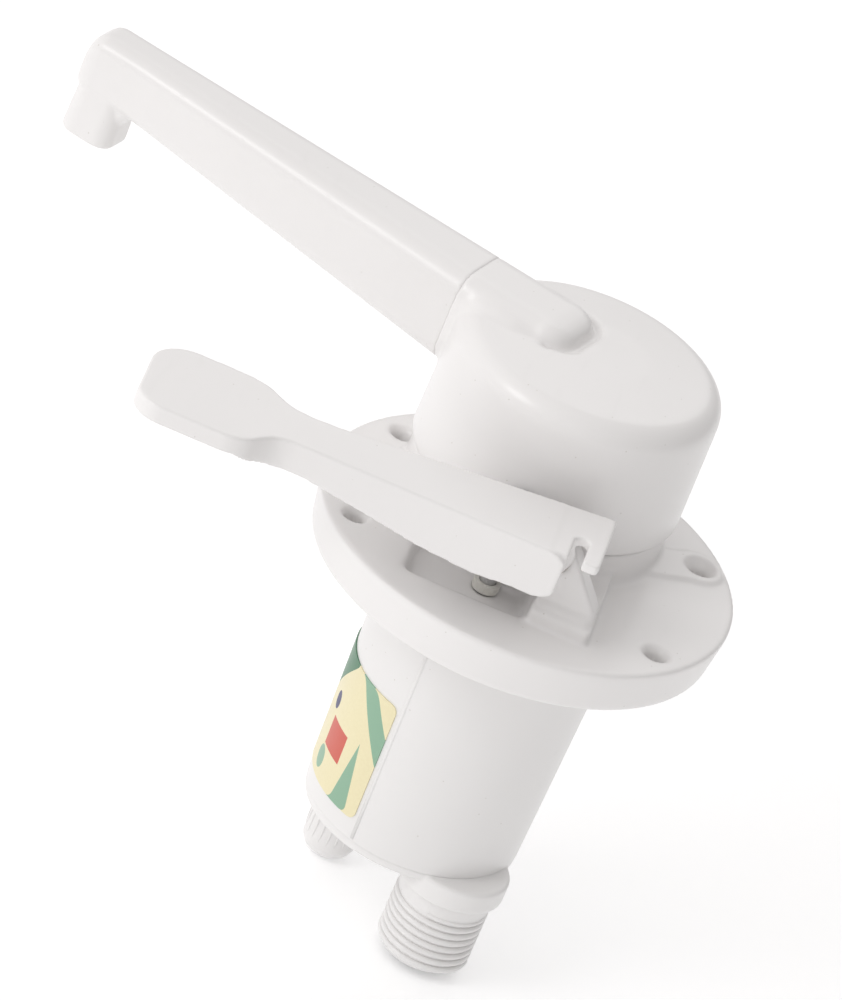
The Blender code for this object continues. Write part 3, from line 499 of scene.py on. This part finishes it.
def makeDeckFlange():
    plug = flange["plug"]
    edge, top = flange["radius"], flange["top"]
    profile = [(0, top), (edge - 0.1, top), (edge, top - 0.8), (edge - 1.5, 0), (flange["rebate"], 0),
               (flange["rebate"], 1.2), (plug, 1.2), (plug, -3.1), (plug - 1.4, -3.1), (plug - 1.4, -5.7),
               (plug, -5.7), (plug, -8), (0, -8)]
    base = turned("deckFlange", softened(profile, 1.0, closed=False), steps=180)
    collar = turned("collar", softened([
        (0, 8), (flange["collar"] + 0.5, 8), (flange["collar"] + 0.5, top + 0.1),
        (flange["collar"], top + 1.2), (flange["collar"], flange["collarTop"]),
        (0, flange["collarTop"])][::-1], 0.7, closed=False), head["x"], head["y"], 160)
    added = [collar]
    a = math.radians(flange["holeAngles"][0])
    reach = flange["holeCircle"] - 1.0
    added.append(rod("pad", flange["pad"], 8, top + 0.9, reach * math.cos(a), reach * math.sin(a)))
    along, across = Vector((math.cos(a), math.sin(a))), Vector((-math.sin(a), math.cos(a)))
    strip = [along * 24 + across * 5.6, along * 38 + across * 5.2,
             along * 38 - across * 5.2, along * 24 - across * 5.6]
    added.append(slab("padStrip", [tuple(p) for p in strip], 8, top + 0.9))
    foot = [(5.3, -32.4), (19.2, -32.4), (19.2, -2), (5.3, -2)]
    added.append(slab("pedestal", softened(foot, 1.4), 8, fulcrum["pedestalTop"]))
    lug = [(5.7, 13.5), (18.6, 13.5), (18.6, 17.0)]
    lug += arc(fulcrum["x"], fulcrum["z"], fulcrum["lug"], 35, 205, 24) + [(5.7, 18.0)]
    added.append(slab("lug", lug, fulcrum["near"], fulcrum["far"], upright=True))
    lugFoot = [(5.6, -31.2), (18.0, -31.2), (18.0, -22.4), (5.6, -22.4)]
    added.append(slab("lugFoot", softened(lugFoot, 1.2), 12, 16.0))
    post = [(0, 36), (9, 36), (9, 34.9), (8.1, 34.9), (8.1, 33.5), (9, 33.5), (9, 27.3), (7.7, 27.3),
            (7.7, 24.9), (9, 24.9), (9, 18), (0, 18)]
    added.append(turned("post", post, head["x"], head["y"], 96))
    combined(base, added, "UNION")
    rings = []
    for z, inset in recess["steps"]:
        left, right = recess["left"] + inset, recess["right"] - max(inset, 0)
        front, back = recess["front"] + inset, recess["back"]
        sides = ((left, front), (right, front), (right, back), (left, back))
        rings.append([(x, y, z) for x, y in softened(sides, recess["corner"])])
    well = skin("well", rings)
    combined(well, [rod("wellBack", flange["collar"] + 0.5, 4, 19, head["x"], head["y"], 160)], "DIFFERENCE")
    x, y = pistonPlace["x"], pistonPlace["y"]
    cuts = [rod("outlet", 5, -9, 37, head["x"], head["y"]), well,
            rod("gland", pistonPlace["gland"], -9, 1, x, y), rod("rodHole", pistonPlace["hole"], 0, 12, x, y),
            between("pivotHole", (fulcrum["x"], -31, fulcrum["z"]), (fulcrum["x"], -22, fulcrum["z"]), 3.0)]
    for index, angle in enumerate(flange["holeAngles"]):
        a = math.radians(angle)
        sink = [(0, top + 1.5), (flange["sink"] + 1.0, top + 1.5), (flange["hole"], top - 1.4),
                (flange["hole"], -1), (0, -1)]
        cuts.append(turned("screwHole%d" % index, sink, flange["holeCircle"] * math.cos(a),
                           flange["holeCircle"] * math.sin(a), 48))
    combined(base, cuts, "DIFFERENCE")
    moulded(base, *flange["melt"])
    finishPiece(base, "base", bodyPlastic, "white_plastic", "deck_flange")


makeDeckFlange()
print("deck flange done")

# barrel, its label and its bottom cap
barrel = {"top": 26.5, "bottom": 24.6, "high": 0.9, "low": -61.6, "bore": 23.0, "mouth": 24.7,
          "seam": 246.0, "seamRise": 0.16}
label = {"from": 133.0, "to": 243.0, "low": -57.0, "high": -26.5, "thickness": 0.3, "corner": 1.8}
cap = {"plateTop": -58.5, "bottom": -63.8, "inletX": 13.2, "inletY": -12.4, "inletBoss": 12.2,
       "inletBossLow": -67.5, "drainX": -14.3, "drainY": 12.4, "drainBoss": 7.4,
       "drainBossLow": -66.6, "footX": 11.5, "footY": -10.8,
       "melt": (0.4, 3)}


def barrelRadius(z):
    share = (barrel["high"] - z) / (barrel["high"] - barrel["low"])
    return barrel["top"] + (barrel["bottom"] - barrel["top"]) * share


def makeBarrel():
    tube = grown("pumpBarrel", taperedTree(barrelPlastic), {
        "Top": barrel["top"] * mm, "Bottom": barrel["bottom"] * mm, "High": barrel["high"] * mm,
        "Low": barrel["low"] * mm, "Sides": 192})
    inside = [(0, 2), (barrel["mouth"], 2), (barrel["mouth"], -9.6), (barrel["bore"], -9.6),
              (barrel["bore"], -63), (0, -63)]
    hollow = turned("barrelHollow", inside, steps=160)
    combined(tube, [hollow], "DIFFERENCE")
    keepSharp(tube)
    finishPiece(tube, "base", barrelPlastic, "white_plastic", "pump_barrel")
    a = math.radians(barrel["seam"])
    rings = []
    out, side = Vector((math.cos(a), math.sin(a), 0)), Vector((-math.sin(a), math.cos(a), 0))
    for z in (barrel["high"] - 0.5, -20, -40, barrel["low"] + 0.5):
        r = barrelRadius(z)
        crest = r + barrel["seamRise"]
        rings.append([out * depth + side * width + Vector((0, 0, z)) for depth, width in (
            (r - 0.3, 0.7), (crest, 0.3), (crest, -0.3), (r - 0.3, -0.7))])
    finishPiece(skin("barrelSeam", rings), "base", barrelPlastic, "white_plastic")


def makeLabel():
    columns, rows = 96, 30
    # rows lie closer together at the two ends, where the corners are round
    along = [k / rows - 0.13 * math.sin(2 * math.pi * k / rows) for k in range(rows + 1)]
    height, reach = label["high"] - label["low"], label["to"] - label["from"]
    bm = bmesh.new()
    uvLayer = bm.loops.layers.uv.new("face")
    sides = []
    for depth in (-0.1, label["thickness"]):
        grid = []
        for k in range(rows + 1):
            v = along[k]
            z = label["low"] + (label["high"] - label["low"]) * v
            row = []
            r = barrelRadius(z) + depth
            short = label["corner"] - min(v, 1 - v) * height
            inset = label["corner"] - math.sqrt(max(0.0, label["corner"] ** 2 - max(0.0, short) ** 2))
            for i in range(columns + 1):
                trim = math.degrees(inset / r)
                angle = math.radians(label["from"] + trim + (reach - 2 * trim) * i / columns)
                row.append(bm.verts.new((r * math.cos(angle) * mm, r * math.sin(angle) * mm, z * mm)))
            grid.append(row)
        sides.append(grid)
    inner, outer = sides

    def face(points, places):
        made = bm.faces.new(points)
        for loop, place in zip(made.loops, places):
            loop[uvLayer].uv = place
    for k in range(rows):
        for i in range(columns):
            places = [(i / columns, along[k]), ((i + 1) / columns, along[k]),
                      ((i + 1) / columns, along[k + 1]), (i / columns, along[k + 1])]
            face((outer[k][i], outer[k][i + 1], outer[k + 1][i + 1], outer[k + 1][i]), places)
            face((inner[k][i], inner[k][i + 1], inner[k + 1][i + 1], inner[k + 1][i]), places)
    for k in (0, rows):
        for i in range(columns):
            places = [(i / columns, along[k]), ((i + 1) / columns, along[k])]
            face((inner[k][i], inner[k][i + 1], outer[k][i + 1], outer[k][i]), places + places[::-1])
    for i in (0, columns):
        for k in range(rows):
            places = [(i / columns, along[k]), (i / columns, along[k + 1])]
            face((inner[k][i], inner[k + 1][i], outer[k + 1][i], outer[k][i]), places + places[::-1])
    sticker = keepSharp(objectFrom("barrelLabel", bm))
    finishPiece(sticker, "base", film, "label_film", "label")


def makeBottomCap():
    profile = [(0, cap["plateTop"]), (22.7, cap["plateTop"]), (22.7, -59.3), (21.3, -59.3), (21.3, -61.1),
               (22.7, -61.1), (22.7, -61.45), (24.55, -61.45), (24.4, cap["bottom"]), (0, cap["bottom"])]
    plate = turned("bottomCap", softened(profile, 0.5, closed=False), steps=144)
    bosses = []
    for name, r, low, x, y, steps in (
            ("inletBoss", cap["inletBoss"], cap["inletBossLow"], cap["inletX"], cap["inletY"], 96),
            ("drainBoss", cap["drainBoss"], cap["drainBossLow"], cap["drainX"], cap["drainY"], 64)):
        outline = softened([(0, -62), (r, -62), (r, low), (0, low)], 0.8, closed=False)
        bosses.append(turned(name, outline, x, y, steps))
    combined(plate, bosses, "UNION")
    cuts = [rod("inletSocket", 9.4, -68.5, -63.4, cap["inletX"], cap["inletY"]),
            rod("drainSocket", 4.5, -68, -61.5, cap["drainX"], cap["drainY"]),
            rod("drainHole", 1.6, -63, -57, cap["drainX"], cap["drainY"]),
            rod("stemHole", 1.5, -66, -57, cap["footX"], cap["footY"])]
    for index in range(5):
        a = math.radians(72 * index + 9)
        cuts.append(rod("footPort%d" % index, 1.25, -66, -57, cap["footX"] + 3.5 * math.cos(a),
                        cap["footY"] + 3.5 * math.sin(a), 24))
    combined(plate, cuts, "DIFFERENCE")
    moulded(plate, *cap["melt"])
    finishPiece(plate, "base", barrelPlastic, "white_plastic", "bottom_cap")


makeBarrel()
makeLabel()
makeBottomCap()
print("barrel done")

# inlet thread and drain cap
inlet = {"root": 9.86, "crest": 10.62, "bore": 7.4, "top": -67.8, "threadTop": -71.4, "low": -85.8,
         "pitch": 1.814}
drain = {"cap": 6.1, "top": -67.2, "low": -87.4, "ribs": 20, "rib": (0.28, 0.42, 7.6)}


def makeInlet():
    profile = [(inlet["bore"], -64), (9.0, -64), (9.0, inlet["top"]), (inlet["crest"] - 0.3, inlet["top"]),
               (inlet["crest"] - 0.3, inlet["threadTop"] - 0.2), (inlet["root"], inlet["threadTop"] - 0.9),
               (inlet["root"], inlet["low"] + 0.9),
               (inlet["root"] - 0.7, inlet["low"]), (inlet["bore"] + 0.5, inlet["low"]),
               (inlet["bore"], inlet["low"] + 0.5)]
    core = keepSharp(turned("inletSpigot", profile, cap["inletX"], cap["inletY"], 144))
    finishPiece(core, "base", barrelPlastic, "white_plastic", "inlet_spigot")
    length = inlet["threadTop"] - inlet["low"] - 1.2
    crestSize = inlet["crest"] - inlet["root"]
    thread = grown("inletThread", threadTree(barrelPlastic), {
        "Turns": length / inlet["pitch"], "Radius": (inlet["crest"] - crestSize) * mm, "Length": length * mm,
        "Crest": crestSize * mm,
        "Centre": (cap["inletX"] * mm, cap["inletY"] * mm, (inlet["low"] + 1.2) * mm)})
    finishPiece(thread, "base", barrelPlastic, "white_plastic")


def makeDrainCap():
    profile = [(0, -85.0), (4.5, -85.0), (4.5, drain["top"]), (drain["cap"], drain["top"]),
               (drain["cap"], drain["low"] + 2.8), (drain["cap"] - 0.9, drain["low"] + 0.9),
               (drain["cap"] - 2.4, drain["low"]), (0, drain["low"])]
    shell = turned("drainCap", softened(profile, 0.5, closed=False), cap["drainX"], cap["drainY"], 96)
    keepSharp(shell, 50)
    finishPiece(shell, "base", barrelPlastic, "white_plastic", "drain_cap")
    ribs = grown("drainCapRibs", ribTree(barrelPlastic), {
        "Count": drain["ribs"], "Radius": drain["cap"] * mm, "Rib": tuple(r * mm for r in drain["rib"]),
        "Centre": (cap["drainX"] * mm, cap["drainY"] * mm, -75.6 * mm)})
    finishPiece(ribs, "base", barrelPlastic, "white_plastic")


makeInlet()
makeDrainCap()
print("connections done")


# swivel head and spout
def spoutPoint(s, across, z):
    a = math.radians(spout["angle"])
    return Vector((head["x"] + s * math.cos(a) + across * math.sin(a),
                   head["y"] + s * math.sin(a) - across * math.cos(a), z))


def spoutSection(s, width, low, high, corner):
    points = []
    half = width / 2 - corner
    for ca, cz, start in ((half, high - corner, 0), (-half, high - corner, 90),
                          (-half, low + corner, 180), (half, low + corner, 270)):
        points += [spoutPoint(s, a, z) for a, z in arc(ca, cz, corner, start, start + 90, 8)]
    return points


def spoutSides(s):
    share = (s - spout["joint"]) / (spout["end"] - spout["nozzle"] - spout["joint"])
    share = min(max(share, 0.0), 1.0)
    width = spout["width"] + (spout["tipWidth"] - spout["width"]) * share
    low = spout["low"] + (spout["tipLow"] - spout["low"]) * share
    return width, low, spout["top"] + 1.4 * share, 5.0 - 1.4 * share


def alongWaterway(name, start, end, radius):
    height = spout["waterway"]
    return between(name, spoutPoint(start, 0, height), spoutPoint(end, 0, height), radius)


def makeHead():
    x, y, top, low = head["x"], head["y"], head["top"], head["bottom"]
    dome = [(0, top), (12, top - 0.35), (18, top - 0.75)]
    dome += arc(head["highRadius"] - 5.6, top - 6.8, 5.6, 78, 0, 14)
    dome += [(head["lowRadius"], low + 0.6), (head["lowRadius"] - 0.5, low), (0, low)]
    shell = turned("swivelHead", dome, x, y, 192)
    roof = top - 4.6
    hollow = turned("headHollow", [
        (15, roof), (head["highRadius"] - 9, roof), (head["highRadius"] - 3.6, roof - 5),
        (head["highRadius"] - 3, roof - 9), (head["lowRadius"] - 2.6, low - 1), (15, low - 1)], x, y, 144)
    moat = []
    for s, width in ((9.0, 21.4), (7.0, 20.8), (4.8, 18.8), (3.0, 15.6), (1.9, 11.4)):
        moat.append(spoutSection(s, width, top - 1.5, top + 6.0, 0.6))
    combined(shell, [hollow, skin("moat", moat)], "DIFFERENCE")
    neck = [spoutSection(s, spout["width"], spout["low"], spout["top"], 5.0)
            for s in (10, 16, 23, spout["joint"])]
    tongue = []
    for s, width, high in ((11, spout["width"], spout["top"]), (9.2, 19.4, spout["top"] - 0.1),
                           (7.4, 18.4, spout["top"] - 0.4), (5.9, 16.6, spout["top"] - 0.9),
                           (4.8, 14.0, spout["top"] - 1.5), (4.0, 11.0, spout["top"] - 2.4)):
        tongue.append(spoutSection(s, width, 46.0, high, min(4.6, (high - 46.0) / 2 - 0.2)))
    fairing = [spoutSection(s, width, floor, high, 6.0) for s, width, floor, high in (
        (9, 23.4, 40.6, top - 0.3), (12, 26.6, 40.0, top + 0.5), (16, 27.6, 39.0, top + 0.9),
        (20, 26.8, 38.0, top + 1.0), (24, 24.8, 36.8, top + 1.2), (28, 21.8, 35.2, top + 1.6),
        (30.6, 20.0, 33.9, spout["top"] - 0.6))]
    combined(shell, [skin("neck", neck), skin("fairing", fairing), skin("tongue", tongue)], "UNION")
    chamber = turned("chamber", [
        (0, 46.3), (9.2, 46.3), (9.2, 38.5), (12.2, 37.5), (12.2, low - 1), (0, low - 1)], x, y, 96)
    way = alongWaterway("neckWay", 0, spout["joint"] + 1, 4.0)
    socket = alongWaterway("neckSocket", spout["joint"] - 9.4, spout["joint"] + 1.6, 6.6)
    combined(shell, [chamber, way, socket], "DIFFERENCE")
    moulded(shell, *head["melt"])
    finishPiece(shell, "head", spoutPlastic, "white_plastic", "swivel_head")


def nozzleRing(centre, z, length, width, corner):
    a, b = length / 2 - corner, width / 2 - corner
    outline = (arc(a, b, corner, 0, 90, 8) + arc(-a, b, corner, 90, 180, 8)
               + arc(-a, -b, corner, 180, 270, 8) + arc(a, -b, corner, 270, 360, 8))
    return [spoutPoint(centre + p, q, z) for p, q in outline]


def makeSpoutArm():
    tipStart = spout["end"] - spout["nozzle"]
    rings = [spoutSection(s, *spoutSides(s))
             for s in (spout["joint"] - 0.5, 42, 55, 68, 81, 94, 107, tipStart, spout["end"] - 3.4)]
    width, low, high, corner = spoutSides(spout["end"])
    for back, side, drop in ((2.0, 0.4, 0.5), (1.0, 1.1, 1.4), (0.3, 2.2, 2.6), (0.0, 3.4, 3.8)):
        rings.append(spoutSection(
            spout["end"] - back, width - side, low + drop * 0.4, high - drop, corner - 0.2))
    arm = skin("spoutArm", rings)
    centre = spout["end"] - spout["nozzle"] / 2
    low = spout["nozzleLow"]
    nozzle = [nozzleRing(centre, z, a, b, c) for z, a, b, c in (
        (46.0, 11.6, 11.2, 3.4), (spout["tipLow"], 12.2, 11.8, 3.6), (low + 5, 12.6, 12.2, 3.8),
        (low + 0.7, 12.8, 12.4, 3.8), (low, 12.0, 11.6, 3.6))]
    web = [nozzleRing(centre - 4.2, z, a, b, 1.6) for z, a, b in (
        (44.6, 9.4, 10.0), (41.6, 7.2, 9.6), (40.2, 5.6, 8.8), (38.8, 4.6, 7.8))]
    spigot = alongWaterway("spigot", spout["joint"] - 9, spout["joint"] + 3, 6.2)
    combined(arm, [skin("nozzle", nozzle), skin("nozzleWeb", web), spigot], "UNION")
    tip = spoutPoint(centre, 0, 0)
    bore = between("armWay", spoutPoint(spout["joint"] - 10, 0, spout["waterway"]),
                   spoutPoint(centre, 0, 49.0), 3.8, 32)
    drop = turned("nozzleWay", [
        (0, 50.6), (3.4, 50.6), (3.4, low + 3.6), (4.3, low + 3.6), (4.3, low - 1), (0, low - 1)],
        tip.x, tip.y, 48)
    groove = alongWaterway("spigotGroove", spout["joint"] - 6.4, spout["joint"] - 4.2, 7.0)
    grooveCore = alongWaterway("spigotGrooveCore", spout["joint"] - 7, spout["joint"] - 3.6, 5.0)
    combined(groove, [grooveCore], "DIFFERENCE")
    combined(arm, [bore, drop, groove], "DIFFERENCE")
    moulded(arm, *spout["melt"])
    finishPiece(arm, "head", spoutPlastic, "white_plastic", "spout_arm")


makeHead()
makeSpoutArm()
print("head and spout done")

# lever
lever = {"top": 34.5, "skin": 2.4, "wall": 2.3, "near": -41.9, "far": -18.5, "taper": 0.158, "end": 15.2,
         "hubX": 3.8, "hubZ": 28.6, "hub": 5.9, "paddleLow": 30.2, "melt": (0.38, 5)}


def farEdge(x):
    return lever["far"] - (lever["end"] - x) * lever["taper"]


def makeLever():
    near, top = lever["near"], lever["top"]
    under, wall = top - lever["skin"], lever["wall"]
    hubX, hubZ, hub = lever["hubX"], lever["hubZ"], lever["hub"]
    end = hubX + hub + 0.1
    plan = [(end, near), (end, farEdge(end)), (-47.0, farEdge(-47.0)), (-53.0, -28.6), (-57.0, -28.0),
            (-60.2, -25.9), (-63.0, -23.6), (-67.0, -22.6), (-72.0, -22.4)]
    plan += arc(-79.0, -31.7, 9.3, 85, 172, 14) + arc(-81.6, -43.6, 6.6, 190, 265, 10)
    plan += [(-66.0, -50.2), (-62.4, -48.6), (-60.0, -45.4), (-57.4, near - 0.9), (-54.0, near)]
    side = [(-90.0, top), (-90.0, lever["paddleLow"]), (-64.5, lever["paddleLow"]), (-61.0, 28.4),
            (-57.0, 27.3), (-50.0, 27.3), (-34.4, 25.1), (-21.7, 23.0), (-9.0, 22.0),
            (hubX - 4.0, hubZ - hub + 0.1)]
    side += arc(hubX, hubZ, hub, -90, 90, 28)
    blade = slab("leverArm", softened(plan, 2.0), 18.0, top)
    leverSide = slab("leverSide", softened(side, 0.8), near - 12, lever["far"] + 2, upright=True)
    combined(blade, [leverSide], "INTERSECT")
    tip = lever["end"]
    tabPlan = [(-4.0, near + 1.2), (tip, near + 1.2), (tip, farEdge(tip)), (-4.0, farEdge(-4.0) - 0.05)]
    tab = slab("leverTab", softened(tabPlan, 1.0), under + 0.1, top - 0.1)
    cheek = slab("farCheek", [
        (3.0, farEdge(3.0) - wall), (14.7, farEdge(tip) - wall), (14.7, farEdge(tip) - 0.2),
        (3.0, farEdge(3.0) - 0.2)], 24.6, under + 1.0)
    combined(blade, [tab, cheek], "UNION")
    channel = slab("channel", softened([
        (-54.0, near + wall), (-3.0, near + wall), (-3.0, fulcrum["near"] - 0.5),
        (22.0, fulcrum["near"] - 0.5),
        (22.0, farEdge(22.0) - wall), (-47.0, farEdge(-47.0) - wall), (-54.0, -31.0)], 0.8), 10, under)
    notch = [(8.3, near - 2), (11.5, near - 2), (11.5, -32.8)] + arc(9.9, -32.8, 1.6, 0, 180, 14)[1:]
    cuts = [channel, slab("notch", notch, 20, top + 2),
            between("pivotBore", (fulcrum["x"], near + 0.8, fulcrum["z"]),
                    (fulcrum["x"], -15, fulcrum["z"]), 2.05),
            between("driveBore", (pistonPlace["x"], -26, fulcrum["z"]),
                    (pistonPlace["x"], -15, fulcrum["z"]), 1.55)]
    combined(blade, cuts, "DIFFERENCE")
    moulded(blade, *lever["melt"])
    finishPiece(blade, "lever", leverPlastic, "white_plastic", "lever")


def makePistonRod():
    eye = arc(pistonPlace["x"], 26.3, 4.8, -20, 200, 28)
    eye += [(-9.4, 22.8), (-6.9, 19.8), (-3.1, 19.8), (-0.6, 22.8)]
    blade = slab("pistonRod", softened(eye, 0.8), -19.4, -16.0, upright=True)
    combined(blade, [rod("rodShank", 1.9, -36, 22.4, pistonPlace["x"], pistonPlace["y"], 64)], "UNION")
    slotShape = arc(-3.5, 26.0, 1.75, -90, 90, 14) + arc(-6.3, 26.0, 1.75, 90, 270, 14)
    combined(blade, [slab("eyeSlot", slotShape, -21, -14, upright=True)], "DIFFERENCE")
    moulded(blade, *pistonPlace["melt"])
    finishPiece(blade, "piston", steelUp, "steel", "piston_rod")


makeLever()
makePistonRod()
print("lever done")

# CAD pieces that keep their own shape
carried = {
    "pivot_bush": bronze, "rod_bush": acetal, "rod_seal": rubber, "rod_wiper": acetal, "barrel_seal": rubber,
    "swivel_o_ring": rubber, "swivel_clip": steelUp, "barrel_liner": steelUp, "cap_seal": rubber,
    "drain_spigot": barrelPlastic, "pivot_pin": steelAcross, "drive_pin": steelAcross,
    "drive_pin_washer": acetal,
    "piston": acetal, "rod_locknut": steelUp, "piston_seal_upper": rubber, "piston_seal_lower": rubber,
    "swivel_sleeve": acetal, "spout_joint_ring": rubber, "spout_outlet_ring": acetal,
    "foot_valve_disc": rubber,
    "foot_valve_clip": steelUp, "transfer_valve_disc": rubber, "transfer_valve_clip": steelUp}
for name, material in carried.items():
    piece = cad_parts[name]
    if not piece.material_slots:
        piece.data.materials.append(material)
    for holder in piece.material_slots:
        holder.material = material
print("carried pieces finished:", len(carried))

# floor, lights and camera
stageSizes = {"floor": -0.0880, "half": 1.6, "glow": 0.26}


def makeFloor():
    f = Finish("pale floor")
    cloud = f.noise(3.0, 3.0)
    grain = f.noise(700.0, 2.0)
    tint = f.blend(cloud, (0.92, 0.92, 0.92), (0.88, 0.88, 0.885))
    material = f.wear(colour=tint, roughness=0.6 + 0.1 * grain)
    f.shader.inputs["Emission Color"].default_value = (1.0, 1.0, 1.0, 1.0)
    f.shader.inputs["Emission Strength"].default_value = stageSizes["glow"]
    bm = bmesh.new()
    half, z = stageSizes["half"], stageSizes["floor"]
    corners = ((-half, -half, z), (half, -half, z), (half, half, z), (-half, half, z))
    bm.faces.new([bm.verts.new(p) for p in corners])
    floor = objectFrom("floor", bm)
    floor.data.materials.append(material)


lights = {
    "key": {"at": (-0.80, -0.65, 0.75), "size": 0.5, "power": 2.6},
    "fill": {"at": (0.1, -1.0, 0.45), "size": 1.0, "power": 0.3},
    "back": {"at": (0.1, 0.9, 0.8), "size": 0.8, "power": 1.0}}
room = {"even": 0.62, "fromLeft": 0.34, "fromAbove": 0.22}


def makeLights():
    for name, facts in lights.items():
        data = bpy.data.lights.new(name, "AREA")
        data.shape = "DISK"
        data.size = facts["size"]
        data.energy = facts["power"]
        lamp = bpy.data.objects.new(name, data)
        scene.collection.objects.link(lamp)
        lamp.location = facts["at"]
        lamp.rotation_euler = (-Vector(facts["at"])).to_track_quat("-Z", "Y").to_euler()
    world = bpy.data.worlds.new("studio")
    world.use_nodes = True
    world.node_tree.nodes["Background"].inputs["Color"].default_value = (1.0, 0.985, 0.98, 1.0)
    sky = Graph(world.node_tree)
    way = sky.node("ShaderNodeTexCoord", output="Generated")
    parts = sky.node("ShaderNodeSeparateXYZ", inputs={0: way})
    upward = Wire(sky, parts.socket.node.outputs[2])
    glow = room["even"] - room["fromLeft"] * parts + room["fromAbove"] * upward
    sky.tree.links.new(glow.socket, sky.tree.nodes["Background"].inputs["Strength"])
    scene.world = world


cameraFacts = {"aim": (-0.0247, 0.0, 0.0099), "height": 29.5, "roll": 23.0, "distance": 2.0, "lens": 337.0}


def makeCamera():
    data = bpy.data.cameras.new("camera")
    data.sensor_width = 36.0
    data.lens = cameraFacts["lens"]
    camera = bpy.data.objects.new("camera", data)
    scene.collection.objects.link(camera)
    up = math.radians(cameraFacts["height"])
    aim = Vector(cameraFacts["aim"])
    away = Vector((0, -math.cos(up), math.sin(up)))
    camera.location = aim + away * cameraFacts["distance"]
    roll = Matrix.Rotation(math.radians(cameraFacts["roll"]), 3, "Z")
    turn = (-away).to_track_quat("-Z", "Y").to_matrix() @ roll
    camera.rotation_euler = turn.to_euler()
    scene.camera = camera


makeFloor()
makeLights()
makeCamera()
scene.view_settings.view_transform = "Standard"
